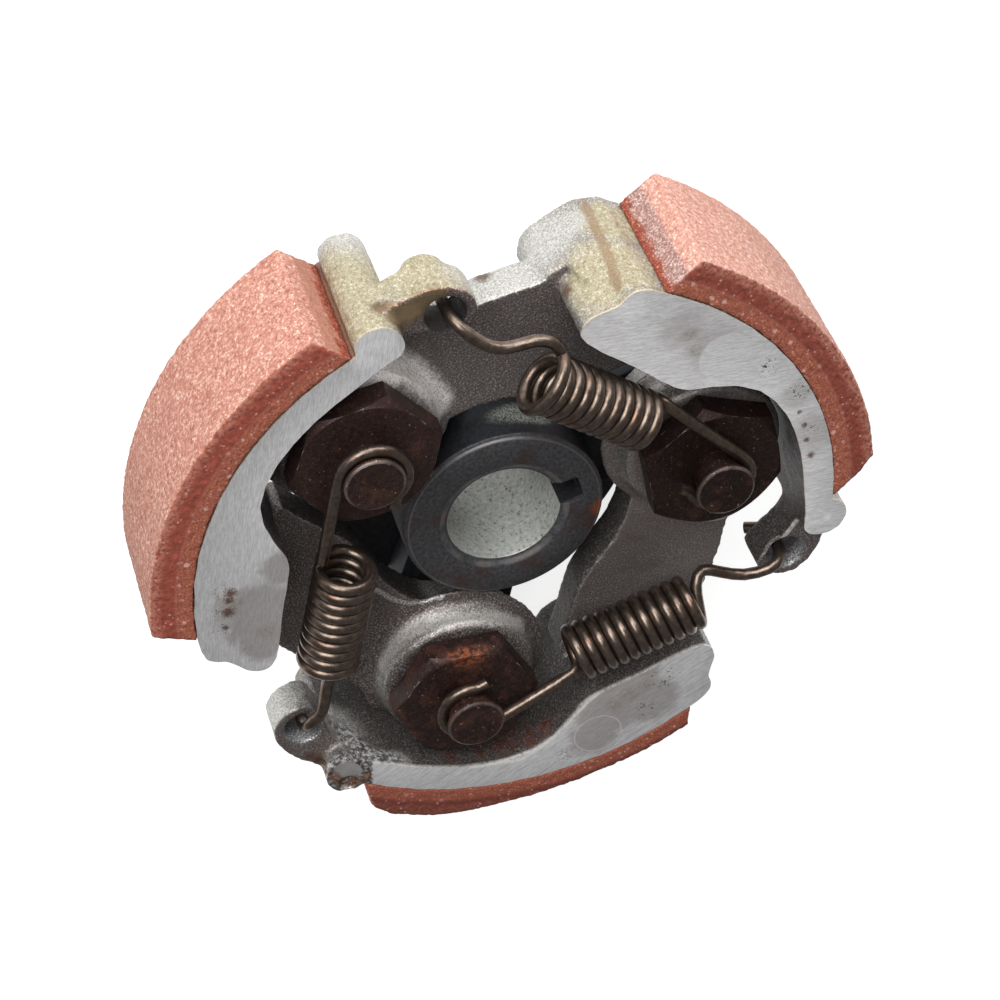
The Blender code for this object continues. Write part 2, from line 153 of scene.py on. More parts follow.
PITS = (
    ((-11.6, 29.2, 0.9), (-14.2, 28.2, 0.9), (-16.3, 27.4, 0.8)),
    ((29.0, -14.0, 1.1), (27.3, -19.1, 1.2), (22.6, -23.0, 0.9)),
    ((-12.6, -24.8, 1.6), (-26.0, -19.0, 1.0), (-17.5, -25.0, 1.2)),
)
# Marks on the whole of the shoes, some of them painted highlight and shade: spots as (x, y, z, radius) and
# the points of lines as (x, y, z).
FILMS = (
    ((22.6, 28.0, 1.0, 6.0), (27.0, 23.4, 4.0, 4.5), (19.0, 28.7, 0.0, 3.0), (21.5, 28.4, 7.5, 3.4)),
    ((32.4, 5.6, 5.0, 4.6), (31.0, 7.6, 4.0, 3.0), (34.0, 3.4, -2.0, 3.4)),
    ((-36.4, 8.0, 4.0, 0.8),),
)
# Lighter silver patches on the walls: painted highlight.
SILVER_HIGHLIGHTS = (
    ((24.0, 27.0, -6.0, 4.0), (27.8, 19.5, 4.0, 2.2)),
    ((32.3, 7.0, -3.0, 2.0), (29.8, 9.0, -3.0, 3.4), (25.5, 13.5, 0.0, 5.0)),
    ((-31.0, 6.0, 4.0, 3.0), (-29.0, 14.0, 4.0, 3.4), (-31.3, -0.8, 8.4, 1.2)),
)
# Dark brown spots: partly dirt, partly painted shade in creases.
GRIME_AND_SHADE = (
    ((23.2, 26.9, 6.3, 0.9), (22.5, 26.0, 7.0, 1.0), (24.0, 24.2, 7.0, 1.0)),
    ((24.5, 13.6, -2.0, 0.8), (28.4, 7.9, 3.5, 0.9), (12.7, -31.6, 9.4, 0.35)),
    ((-34.0, 7.4, 7.2, 1.2), (-33.7, 8.6, 7.0, 0.7)),
)
# Light lines along edges: painted highlight; on shoe_a they are brown with light flecks.
EDGE_LINES = (
    ((24.1, 26.0, 7.0), (25.8, 25.0, 7.0), (27.0, 23.2, 7.0), (27.8, 21.3, 7.0), (27.6, 19.2, 7.0)),
    ((5.8, -29.7, 7.0), (8.0, -30.3, 7.0), (10.2, -30.4, 7.0)),
    ((-29.8, -8.9, 9.4), (-27.5, -14.3, 9.4), (-24.9, -16.0, 9.4), (-21.8, -16.9, 9.4),
     (-17.6, -17.9, 9.4), (-15.0, -19.0, 9.4)),
)
BROWN_LINES = (
    ((23.4, 27.1, 6.6), (25.6, 25.2, 7.2), (26.9, 23.4, 7.2), (27.6, 21.4, 7.2)),
    ((33.7, 5.4, -5.3), (33.6, 5.5, -0.6), (33.3, 5.3, 3.3), (32.4, 5.1, 7.1)),
    ((-34.9, 5.9, 7.0), (-34.2, 4.6, 8.4), (-33.6, 3.7, 9.4)),
)
# Light lines along the fillets round the bosses: painted highlight.
GLINTS = (
    ((-22.5, 3.8, 3.4), (-19.4, 3.6, 3.2), (-17.5, 2.9, 3.1), (-15.6, 1.5, 3.5), (-14.4, -0.1, 4.0),
     (-13.2, -2.8, 4.1), (-13.1, -5.9, 3.7), (-14.1, -9.2, 3.2)),
    ((14.3, 23.2, 4.6), (15.2, 20.3, 3.2), (14.4, 17.5, 3.3), (11.5, 13.6, 2.7)),
    ((17.6, -8.2, -1.4), (18.9, -8.3, 0.4), (20.2, -8.2, 2.3)),
)
# What shoe_a alone has.
# A light line along the ridge of the boss: painted highlight.
RIDGE_HIGHLIGHT = ((-13.7, 8.5, 1.8), (-14.6, 5.8, 1.8), (-14.7, 3.9, 1.8), (-13.9, 2.4, 1.7), (-13.0, 0.7, 1.9))
LUG_SHADE = ((23.3, 24.8, 7.0, 1.5), (24.9, 23.6, 7.0, 1.4), (26.3, 22.6, 7.0, 1.1))
GLUE_LINE = ((18.8, 28.6, -12.0), (18.8, 28.6, 9.4))
LUG_PAD = (26.5, 22.9, 2.4)
LUG_PAD_SIZE = (0.9, 2.1, 1.6)
LUG_PAD_TURN = 30.0
# What shoe_c alone has: the slanting end of its machined face, its torn nose, rust, and two chips as
# (x, y, z, radius, depth).
FACE_END = 17.4
FACE_END_SLOPE = 0.47
NOSE = (-32.8, 5.0, 9.3)
CRAG = ((-31.2, 5.8, 4.2), (-31.3, 4.2, 7.0), (-31.3, 2.4, 8.6), (-31.1, 0.0, 8.8))
BREAK = ((-33.8, 6.6, 9.4), (-34.5, 5.3, 9.4), (-35.0, 3.9, 9.4), (-34.3, 2.8, 9.4), (-33.2, 2.3, 9.4))
REDS = (
    (-30.2, -6.9, 7.9, 0.8), (-29.1, -10.4, 7.4, 0.8), (-27.7, -13.0, 7.2, 1.3), (-25.8, -15.3, 7.1, 1.5),
    (-23.9, -16.2, 7.2, 1.2), (-26.8, -12.6, 5.5, 1.8),
)
CHIPS = ((-34.7, 4.1, 9.5, 1.25, 0.75), (-34.3, 7.3, 8.0, 1.0, 1.1))
# Marks on the hub and on the third bolt's head, and a painted highlight on the hub's barrel.
BARREL_HIGHLIGHT = (10.6, 2.4, -0.4)
RING_RUST = (3.7, -9.9, 3.1)
HEAD_RUST = (-15.2, -1.6, 7.9)


def polar(radius, angle, z=0.0):
    """A point in metres from a radius and height in millimetres and an angle in degrees."""
    turn = math.radians(angle)
    return Vector((radius * math.cos(turn), radius * math.sin(turn), z)) * MM


# Shader maths.


def operator(kind):
    """A method that joins two values by one kind of sum."""
    return lambda self, other: self.paint.node("ShaderNodeMath", {"operation": kind}, self, other)


class Socket:
    """One output of a node tree that takes part in sums."""

    def __init__(self, paint, link):
        self.paint = paint
        self.link = link

    __add__ = __radd__ = operator("ADD")
    __mul__ = __rmul__ = operator("MULTIPLY")
    __sub__ = operator("SUBTRACT")
    __gt__ = operator("GREATER_THAN")
    power = operator("POWER")
    most = operator("MAXIMUM")
    least = operator("MINIMUM")

    def __rsub__(self, other):
        return self.paint.node("ShaderNodeMath", {"operation": "SUBTRACT"}, other, self)

    def clamp(self):
        return self.paint.node("ShaderNodeClamp", {}, self)

    def between(self, low, high):
        """0 at low and 1 at high, smooth between, for low above high too."""
        settings = {"interpolation_type": "SMOOTHSTEP"}
        return self.paint.node("ShaderNodeMapRange", settings, self, low, high, 0.0, 1.0)

    def between_mm(self, low, high):
        return self.between(low * MM, high * MM)


class Paint:
    """One node material with a Principled shader."""

    def __init__(self, name, **constants):
        self.material = bpy.data.materials.new(name)
        self.material.use_nodes = True
        self.tree = self.material.node_tree
        self.shader = self.tree.nodes["Principled BSDF"]
        for socket, value in constants.items():
            self.shader.inputs[socket.replace("_", " ")].default_value = value
        self.place = self.node("ShaderNodeTexCoord", {}, output="Object")

    def node(self, kind, settings, *values, output=0, **named):
        """The output of a new node, whose settings are set before its sockets."""
        made = self.tree.nodes.new(kind)
        for key, value in settings.items():
            setattr(made, key, value)
        sockets = list(zip(made.inputs, values))
        sockets += [(made.inputs[key.replace("_", " ")], value) for key, value in named.items()]
        for socket, value in sockets:
            if isinstance(value, Socket):
                self.tree.links.new(value.link, socket)
            elif value is not None:
                socket.default_value = value
        return Socket(self, made.outputs[output])

    def noise(self, size, detail=4.0, rough=0.6, place=None):
        """Noise from 0 to 1; size is that of its features in millimetres."""
        return self.node("ShaderNodeTexNoise", {}, Vector=place or self.place,
                         Scale=1.0 / (size * MM), Detail=detail, Roughness=rough)

    def cells(self, size, output="Distance"):
        return self.node("ShaderNodeTexVoronoi", {}, Vector=self.place, Scale=1.0 / (size * MM),
                         output=output)

    def flakes(self, size, left_out, speck, soft):
        """1 inside ragged flakes, of which the share left_out is missing."""
        chance = self.node("ShaderNodeSeparateColor", {}, self.cells(size, "Color"), output="Red")
        return (chance > left_out) * (self.cells(size) + (speck - 0.5) * 0.9).between(soft, 0.22)

    def ramp(self, value, *stops):
        """A colour by value, through stops that are each (value, colour)."""
        made = self.node("ShaderNodeValToRGB", {}, value, output="Color")
        elements = made.link.node.color_ramp.elements
        while len(elements) < len(stops):
            elements.new(0.5)
        for element, (at, colour) in zip(elements, stops):
            element.position = at
            element.color = (*colour, 1.0)
        return made

    def mix(self, share, first, second):
        """The first colour where share is 0, the second where it is 1."""
        colours = [c if isinstance(c, Socket) else (*c, 1.0) for c in (first, second)]
        return self.node("ShaderNodeMix", {"data_type": "RGBA"}, share, *[None] * 5, *colours, output=2)

    def part(self, axis):
        return self.node("ShaderNodeSeparateXYZ", {}, self.place, output=axis)

    def spot(self, centre, radius, soft=0.4, ragged=0.0, stretch=(1.0, 1.0, 1.0), turn=0.0):
        """1 inside a blob about centre, in millimetres, and 0 outside it."""
        moved = self.node("ShaderNodeMapping", {"vector_type": "TEXTURE"}, Vector=self.place,
                          Location=Vector(centre) * MM, Rotation=(0.0, 0.0, math.radians(turn)),
                          Scale=stretch)
        far = self.node("ShaderNodeVectorMath", {"operation": "LENGTH"}, moved, output="Value")
        if ragged:
            far = far + (self.noise(radius * 0.5) - 0.5) * (ragged * radius * MM)
        return far.between(radius * (1.0 + soft) * MM, radius * (1.0 - soft) * MM)

    def spots(self, table, soft=0.4, ragged=0.8):
        """1 inside any of the table's blobs, each (x, y, z, radius)."""
        blobs = [self.spot((x, y, z), radius, soft, ragged) for x, y, z, radius in table]
        return reduce(Socket.most, blobs)

    def streak(self, points, width, ragged=0.0, grain=0.6):
        """1 on a line through points and 0 further off than width, in millimetres."""
        gaps = []
        for first, last in zip(points, points[1:]):
            start = Vector(first) * MM
            reach = Vector(last) * MM - start
            vector = "ShaderNodeVectorMath"
            off = self.node(vector, {"operation": "SUBTRACT"}, self.place, start)
            along = self.node(vector, {"operation": "DOT_PRODUCT"}, off, reach, output="Value")
            share = (along * (1.0 / reach.length_squared)).clamp()
            foot = self.node(vector, {"operation": "SCALE"}, reach, Scale=share)
            gap = self.node(vector, {"operation": "SUBTRACT"}, off, foot)
            gaps.append(self.node(vector, {"operation": "LENGTH"}, gap, output="Value"))
        near = reduce(Socket.least, gaps)
        if ragged:
            near = near + (self.noise(grain) - 0.5) * (ragged * MM)
        return near.between(width * MM, 0.4 * width * MM)

    def polar_gap(self, radius, angle):
        """How far off an upright axis is, whose place is a radius in millimetres and an angle."""
        centre = polar(radius, angle)
        x, y = self.part("X") - centre.x, self.part("Y") - centre.y
        return (x * x + y * y).power(0.5)

    def stored(self, name):
        """A value that the mesh carries."""
        return self.node("ShaderNodeAttribute", {"attribute_name": name}, output="Fac")

    def bump(self, height, distance, strength):
        return self.node("ShaderNodeBump", {}, Strength=strength, Distance=distance * MM, Height=height)

    def finish(self, **links):
        for name, value in links.items():
            self.tree.links.new(value.link, self.shader.inputs[name.replace("_", " ")])
        return self.material


def cast_skin(paint, index, side, inward, sparkle, grain):
    """The sparkling cast skin and its film, with painted highlight on walls and glints, and painted shade."""
    broad = paint.noise(5.0, 3.0)
    flat = paint.ramp(sparkle, (0.34, (0.082, 0.066, 0.061)), (0.5, (0.163, 0.139, 0.131)),
                      (0.59, (0.27, 0.238, 0.226)), (0.69, (0.62, 0.57, 0.55)))
    # Upright walls are painted lighter than flat faces of the same skin: painted highlight.
    upright = paint.ramp(sparkle, (0.3, (0.14, 0.128, 0.118)), (0.46, (0.27, 0.255, 0.235)),
                         (0.58, (0.44, 0.425, 0.4)), (0.7, (0.75, 0.73, 0.7)))
    skin = paint.mix(broad.between(0.45, 0.65) * 0.4, flat, (0.11, 0.084, 0.078))
    lighter = (0.0, 0.1, 0.12)[index]
    if index == 2:
        lighter = paint.part("X").between_mm(-14.0, -3.0) * 0.2 + lighter
    skin = paint.mix(lighter, skin, (0.42, 0.37, 0.355))
    skin = paint.mix(side, skin, upright)
    # Walls that look towards the clutch's axis are painted dark: painted shade.
    painted_shade = paint.ramp(sparkle, (0.35, (0.02, 0.016, 0.015)), (0.56, (0.06, 0.05, 0.048)),
                       (0.7, (0.26, 0.23, 0.225)))
    skin = paint.mix(inward * (0.95, 0.95, 0.85)[index], skin, painted_shade)
    # Light lines along the bosses' fillets: painted highlight.
    glint = paint.streak(GLINTS[index], (1.3, 2.6, 1.5)[index], 0.9)
    glint = glint * (sparkle.between(0.32, 0.56) * 0.6 + 0.4)
    shine = (0.66, 0.98, 0.66)[index]
    skin = paint.mix(glint * (0.62, 0.98, 0.85)[index], skin, (shine, shine * 0.955, shine * 0.925))
    # Lighter silver patches on the walls: painted highlight.
    silver_highlight = paint.spots(SILVER_HIGHLIGHTS[index], 0.5, 0.9)
    skin = paint.mix(silver_highlight * (sparkle.between(0.4, 0.62) * 0.45 + 0.35) * side, skin, (0.66, 0.655, 0.62))
    khaki = paint.ramp(grain * 0.55 + sparkle * 0.45, (0.36, (0.22, 0.18, 0.1)),
                       (0.47, (0.37, 0.32, 0.205)), (0.56, (0.47, 0.43, 0.3)), (0.66, (0.8, 0.75, 0.66)))
    film = paint.spots(FILMS[index], 0.35, 0.9) * side
    skin = paint.mix(film * (0.95 - silver_highlight * 0.5), skin, khaki)
    edge = paint.stored("edge")
    # Bulging edges are painted lighter: partly wear, partly painted highlight.
    worn = edge.between(0.1, 0.3)
    skin = paint.mix(worn * (0.4 + side * 0.2), skin, (0.5, 0.47, 0.43))
    # Hollows are painted darker: painted shade.
    hollow_shade = edge.between(-0.08, -0.3)
    skin = paint.mix(hollow_shade * 0.7, skin, (0.05, 0.032, 0.024))
    return skin, film, glint


def lug_hole(paint, index, height, sparkle, skin):
    """The skin with the spring's hole: a painted highlight on its wall at the mouth, painted shade further
    in.
    """
    hole = paint.polar_gap(LUG_PITCH, PIN_ANGLES[index] + LUG_TURN)
    hole = hole.between_mm(LUG_HOLE_R + 0.25, LUG_HOLE_R + 0.12)
    wall = paint.ramp(sparkle, (0.36, (0.1, 0.098, 0.104)), (0.52, (0.3, 0.3, 0.31)),
                      (0.66, (0.7, 0.7, 0.72)))
    skin = paint.mix(hole * (0.3, 0.85, 0.9)[index], skin, wall)
    light = (0.0, 0.8, 1.0)[index]
    deep = hole * height.between_mm(LUG_FRONT + 0.2 - light, LUG_FRONT - 0.1 - 3.0 * light)
    return paint.mix(deep * (0.9, 0.8, 0.85)[index], skin, (0.035, 0.03, 0.03))


def torn_nose(paint, height, side, grain, torn, skin):
    """The skin of shoe_c, with a torn and broken nose and rust along its rim."""
    # Crystals of the torn skin; their brightest flecks are painted glints.
    crystal = paint.ramp(paint.noise(0.6, 3.0, 0.8), (0.4, (0.035, 0.03, 0.032)),
                         (0.5, (0.24, 0.225, 0.225)), (0.6, (0.8, 0.79, 0.78)))
    nose = height.between_mm(LUG_FRONT + 1.0, LUG_FRONT + 1.7)
    crag = paint.streak(CRAG, 2.1, 1.4) * height.between_mm(1.5, 4.5)
    skin = paint.mix(crag.most(torn * nose) * 0.75, skin, crystal)
    skin = paint.mix(paint.spot(NOSE, 1.15, 0.07, 0.12, (1.0, 1.45, 1.0)), skin, (0.4, 0.39, 0.38))
    brown = paint.ramp(grain, (0.4, (0.1, 0.03, 0.012)), (0.6, (0.3, 0.16, 0.08)))
    skin = paint.mix(paint.streak(BREAK, 0.95, 0.5) * (1.0 - side * 0.3), skin, brown)
    flecks = paint.noise(0.55, 4.0, 0.75).between(0.45, 0.56)
    red = paint.ramp(grain, (0.35, (0.07, 0.012, 0.006)), (0.65, (0.24, 0.07, 0.035)))
    return paint.mix(paint.spots(REDS, 0.7, 1.2) * flecks * 0.9, skin, red)


def machined_face(paint, index, sparkle, grain):
    """The cut face of a shoe, tinted and stained, and the fine lines that run over it."""
    brushed = paint.node("ShaderNodeMapping", {"vector_type": "TEXTURE"}, Vector=paint.place,
                         Rotation=(0.0, 0.0, math.radians((17.0, -63.0, -32.0)[index])),
                         Scale=(9.0, 1.0, 1.0))
    lines = paint.noise(0.12, 3.0, 0.6, place=brushed)
    bright = (0.58, 0.7, 0.6)[index]
    metal = paint.ramp(lines + (grain - 0.5) * 0.3, (0.36, (bright * 0.82, bright * 0.805, bright * 0.81)),
                       (0.64, (bright * 1.12, bright * 1.105, bright * 1.11)))

    def marks(table, soft, ragged):
        return paint.spots([(x, y, FACE / MM, radius) for x, y, radius in table], soft, ragged)

    x, y, radius = DISCS[index]
    disc = marks([(x, y, radius)], 0.03, 0.0)
    tint = marks(TINTS[index], (0.25, 0.5, 0.25)[index], 0.8)
    if index < 2:
        tint = tint * (1.0 - disc)
        rim = marks([(x, y, radius)], 0.06, 0.0) * (1.0 - disc) * marks(TINTS[index], 0.1, 0.2)
    else:
        rim = marks([(x, y, radius + 0.12)], 0.03, 0.0) * (1.0 - disc)
    worst = bright * (0.86, 1.0, 0.92)[index]
    dull = paint.ramp(sparkle * 0.5 + lines * 0.5, (0.3, (worst * 0.45, worst * 0.41, worst * 0.405)),
                      (0.7, (worst * 0.78, worst * 0.73, worst * 0.72)))
    metal = paint.mix(tint * (0.85, 0.6, 0.85)[index], metal, dull)
    streaks = paint.noise(0.45, 3.0, 0.7, place=brushed).between(0.5, 0.68)
    metal = paint.mix(streaks * (0.2, 0.25, 0.4)[index], metal, (worst * 0.55, worst * 0.51, worst * 0.5))
    metal = paint.mix(rim * 0.5, metal, (0.75, 0.73, 0.72))
    smudge = marks(SMUDGES[index], 0.7, 1.2) * (grain.between(0.35, 0.65) * 0.6 + 0.15)
    metal = paint.mix(smudge * 0.7, metal, (0.2, 0.15, 0.1))
    stain = marks(STAINS[index], 0.6, 2.4) * (sparkle.between(0.3, 0.5) * 0.5 + 0.5)
    metal = paint.mix(stain * 0.9, metal, (0.1, 0.042, 0.02))
    fleck = paint.noise(0.28, 2.0, 0.6).between(0.58, 0.66)
    metal = paint.mix(marks(PITS[index], 0.6, 0.9) * fleck, metal, (0.03, 0.028, 0.028))
    # Short white dashes along the lines: painted glints.
    glint_dashes = paint.noise(0.2, 2.0, 0.6, place=brushed).between(0.7, 0.76)
    return paint.mix(glint_dashes * 0.7, metal, (0.95, 0.95, 0.96)), lines


def cast_iron(index):
    """Sparkling cast skin, stained in places, with the machined face on top."""
    paint = Paint(f"cast_iron_{LETTERS[index]}", Specular_IOR_Level=0.5)
    height = paint.part("Z")
    side = paint.stored("upright")
    inward = paint.stored("inward")
    sparkle = paint.noise(0.2, 2.0, 0.7)
    grain = paint.noise(0.45, 4.0, 0.65)
    machined = height.between(FACE - 0.03 * MM, FACE - 0.01 * MM)
    skin, film, glint = cast_skin(paint, index, side, inward, sparkle, grain)
    skin = lug_hole(paint, index, height, sparkle, skin)
    # Dark brown spots: partly dirt, partly painted shade in creases.
    dirt_and_shade = paint.spots(GRIME_AND_SHADE[index], 0.6, 0.9)
    skin = paint.mix(dirt_and_shade * 0.85, skin, (0.075, 0.035, 0.018))
    lip = height.between(FACE - (0.34, 0.34, 0.62)[index] * MM, FACE - 0.08 * MM)
    lip = lip * side * (grain.between(0.35, 0.55) * 0.55 + 0.45)
    edge_highlight_colour = (0.75, 0.72, 0.68)
    if index == 0:
        # Khaki-brown film on shoe_a's lug front, darkened as painted shade.
        skin = paint.mix(paint.spots(LUG_SHADE, 0.4, 0.6) * 0.8, skin, (0.22, 0.155, 0.08))
        skin = paint.mix(paint.streak(GLUE_LINE, 1.0, 0.3) * 0.85, skin, (0.2, 0.075, 0.04))
        # A light line along the ridge of shoe_a's boss: painted highlight.
        skin = paint.mix(paint.streak(RIDGE_HIGHLIGHT, 0.4, 0.5) * sparkle.between(0.35, 0.55), skin, (0.6, 0.58, 0.56))
        edge_highlight_colour = paint.ramp(sparkle, (0.45, (0.2, 0.09, 0.05)), (0.62, (0.72, 0.55, 0.45)))
    if index == 2:
        past = paint.part("Y") - paint.part("X") * FACE_END_SLOPE + (grain - 0.5) * (0.9 * MM)
        torn = past.between_mm(FACE_END - 0.15, FACE_END + 0.15)
        skin = torn_nose(paint, height, side, grain, torn, skin)
        machined = machined * (1.0 - torn)
        lip = lip * (1.0 - torn)
    skin = paint.mix(lip, skin, ((0.6, 0.5, 0.33), (0.72, 0.6, 0.38), (0.75, 0.72, 0.69))[index])
    metal, lines = machined_face(paint, index, sparkle, grain)
    colour = paint.mix(machined, skin, metal)
    # Light lines along edges: painted highlight.
    bead = paint.streak(EDGE_LINES[index], 0.3, 0.3) * (grain.between(0.3, 0.55) * 0.6 + 0.4)
    colour = paint.mix(bead, colour, edge_highlight_colour)
    brown = paint.streak(BROWN_LINES[index], (0.55, 0.8, 0.55)[index], 0.7, 0.9)
    brown = brown * (grain.between(0.3, 0.6) * 0.6 + 0.3)
    colour = paint.mix(brown * 0.8, colour, (0.24, 0.13, 0.06))
    rough = machined * 0.04 + 0.4 + grain * 0.15 + film * 0.15
    relief = sparkle * 0.5 + grain * 0.5 + paint.noise(1.2, 3.0) * 0.8
    normal = paint.bump(relief * (1.0 - machined) + lines * machined * 0.05, 0.1, 0.8)
    metallic = 0.7 - machined * 0.3 - film * 0.5 - dirt_and_shade * 0.4 - inward * 0.3 - glint * 0.3
    return paint.finish(Base_Color=colour, Roughness=rough, Normal=normal, Metallic=metallic.clamp())


def friction_lining(index):
    """Brick-red moulded composite with copper flecks; the rubbed face and the ends are paler."""
    paint = Paint(f"friction_lining_{LETTERS[index]}")
    grain = paint.noise(0.5, 6.0, 0.7)
    speck = paint.noise(0.24, 3.0, 0.7)
    crumbs = paint.noise(0.45, 3.0, 0.75)
    broad = paint.noise(5.0, 3.0)
    x, y, height = paint.part("X"), paint.part("Y"), paint.part("Z")
    radius = (x * x + y * y).power(0.5)
    front = height.between(FACE - 0.14 * MM, FACE - 0.03 * MM)
    thick = LINING_THICKNESS[index]
    outside = radius.between_mm(RIM_R + 0.6 * thick, RIM_R + 0.75 * thick)
    rubbed = outside * (1.0 - front)
    depth = (1.5, 1.25, 0.8)[index]
    deep = paint.ramp(grain, (0.3, (depth * 0.12, depth * 0.024, depth * 0.014)),
                      (0.55, (depth * 0.21, depth * 0.045, depth * 0.028)),
                      (0.75, (depth * 0.36, 0.11, 0.065)))
    inner = paint.ramp(speck, (0.3, (0.2, 0.045, 0.026)), (0.55, (0.37, 0.105, 0.06)),
                       (0.75, (0.62, 0.3, 0.2)))
    band = (radius + (grain - 0.5) * (1.4 * MM)).between_mm(RIM_R + 2.2, RIM_R + 1.4)
    face = paint.mix(band, deep, inner)
    if index == 2:
        face = paint.mix(0.35, face, (0.16, 0.03, 0.016))
    else:
        boundary = (radius.between_mm(RIM_R + 1.65, RIM_R + 1.8)
                    * radius.between_mm(RIM_R + 2.05, RIM_R + 1.9))
        face = paint.mix(boundary * 0.15, face, (0.5, 0.24, 0.17))
    pale_flakes = paint.flakes(0.9, 0.78, speck, 0.36) * radius.between_mm(RIM_R + 2.4, RIM_R + 1.4)
    face = paint.mix(pale_flakes * (0.55, 0.55, 0.2)[index], face, (0.85, 0.6, 0.52))
    worn = radius + (paint.noise(1.8, 4.0, 0.7) - 0.5) * (1.6 * MM)
    dust = worn.between_mm(RIM_R + 0.74 * thick, RIM_R + 0.95 * thick) * crumbs.between(0.4, 0.55)
    face = paint.mix(dust * (0.45, 0.45, 0.08)[index], face, (0.6, 0.28, 0.2))
    pale = paint.ramp(crumbs * 0.6 + speck * 0.4, (0.36, (0.22, 0.07, 0.045)), (0.44, (0.47, 0.19, 0.135)),
                      (0.53, (0.62, 0.3, 0.225)), (0.62, (0.92, 0.68, 0.57)))
    pale = paint.mix(broad.between(0.45, 0.7) * 0.3, pale, (0.42, 0.17, 0.12))
    pale = paint.mix(0.14, pale, ((0.36, 0.13, 0.09), (0.92, 0.62, 0.54), (0.3, 0.1, 0.07))[index])
    pale = paint.mix(paint.noise(0.3, 3.0, 0.7).between(0.64, 0.7) * 0.6, pale, (0.3, 0.055, 0.035))
    pale = paint.mix(paint.noise(0.38, 2.0, 0.6).between(0.66, 0.71) * 0.7, pale, (0.96, 0.87, 0.82))
    end_stops = ((0.3, (0.34, 0.13, 0.08)), (0.55, (0.43, 0.19, 0.13)), (0.78, (0.56, 0.31, 0.23)))
    if index == 1:
        end_stops = ((0.32, (0.2, 0.095, 0.08)), (0.5, (0.36, 0.19, 0.16)), (0.66, (0.74, 0.6, 0.55)))
    colour = paint.mix(rubbed, paint.ramp(speck, *end_stops), pale)
    colour = paint.mix(front, colour, face)
    ripple = (grain - 0.5) * (1.6 * MM) + (paint.noise(1.6, 3.0) - 0.5) * (2.6 * MM)
    bead = (radius + ripple).between_mm(RIM_R + 1.5, RIM_R + 0.6)
    glue = paint.ramp(speck, (0.35, (0.12, 0.018, 0.01)), (0.52, (0.3, 0.055, 0.025)),
                      (0.68, (0.46, 0.17, 0.1)))
    colour = paint.mix(bead * (1.0 - front), colour, glue)
    copper = paint.flakes(0.4, 0.9, speck, 0.38)
    colour = paint.mix(copper * 0.55, colour, (0.72, 0.45, 0.35))
    normal = paint.bump(grain * 0.5 + crumbs + speck * 0.5 + broad * 0.4, 0.1, 0.7)
    return paint.finish(Base_Color=colour, Roughness=0.72 + grain * 0.2 - copper * 0.25, Normal=normal)


def dark_steel():
    """The hub: blue-black steel with reddish tints and a pitted bore."""
    paint = Paint("dark_steel")
    x, y, height = paint.part("X"), paint.part("Y"), paint.part("Z")
    radius = (x * x + y * y).power(0.5)
    bore = radius.between_mm(BORE_R + 0.12, BORE_R + 0.04)
    grain = paint.noise(0.4, 5.0, 0.65)
    speck = paint.noise(0.2, 3.0, 0.7)
    broad = paint.noise(3.5, 3.0)
    steel = paint.ramp(grain, (0.3, (0.055, 0.055, 0.06)), (0.7, (0.165, 0.163, 0.172)))
    steel = paint.mix(broad.between(0.48, 0.66) * 0.55, steel, (0.11, 0.06, 0.05))
    steel = paint.mix(speck.between(0.68, 0.76) * 0.5, steel, (0.4, 0.39, 0.38))
    front = height.between(RING_FRONT - 0.42 * MM, RING_FRONT - 0.7 * MM)
    steel = paint.mix(front * 0.72, steel, (0.014, 0.018, 0.024))
    # A lit patch on the barrel: painted highlight.
    lit = paint.spot(BARREL_HIGHLIGHT, 3.4, 0.4, 0.8, (0.55, 1.0, 0.42))
    steel = paint.mix(lit * (speck.between(0.4, 0.62) * 0.8 + 0.1), steel, (0.5, 0.52, 0.46))
    steel = paint.mix(paint.spot(RING_RUST, 1.0, 0.5, 1.0) * 0.9, steel, (0.38, 0.12, 0.04))
    # Light lines at the ring's outer edge and the bore's mouth: painted highlight.
    rim = radius.between_mm(HUB_R - 0.62, HUB_R - 0.45) * (1.0 - front)
    mouth = radius.between_mm(BORE_MOUTH_R + 0.28, BORE_MOUTH_R + 0.08) * broad.between(0.4, 0.6)
    rim = rim.most(mouth) * height.between(RING_FRONT - 0.4 * MM, RING_FRONT - 0.2 * MM)
    steel = paint.mix(rim * 0.5, steel, (0.34, 0.33, 0.33))
    pits = paint.noise(0.5, 3.0, 0.7)
    wall = paint.ramp(pits * 0.6 + speck * 0.4, (0.36, (0.05, 0.05, 0.048)), (0.43, (0.42, 0.43, 0.4)),
                      (0.58, (0.58, 0.59, 0.56)), (0.7, (0.74, 0.75, 0.72)))
    colour = paint.mix(bore, steel, wall)
    normal = paint.bump(grain + pits * bore * 0.6, 0.06, 0.7)
    return paint.finish(Base_Color=colour, Roughness=0.42 + grain * 0.2, Normal=normal,
                        Metallic=0.8 - bore * 0.25)


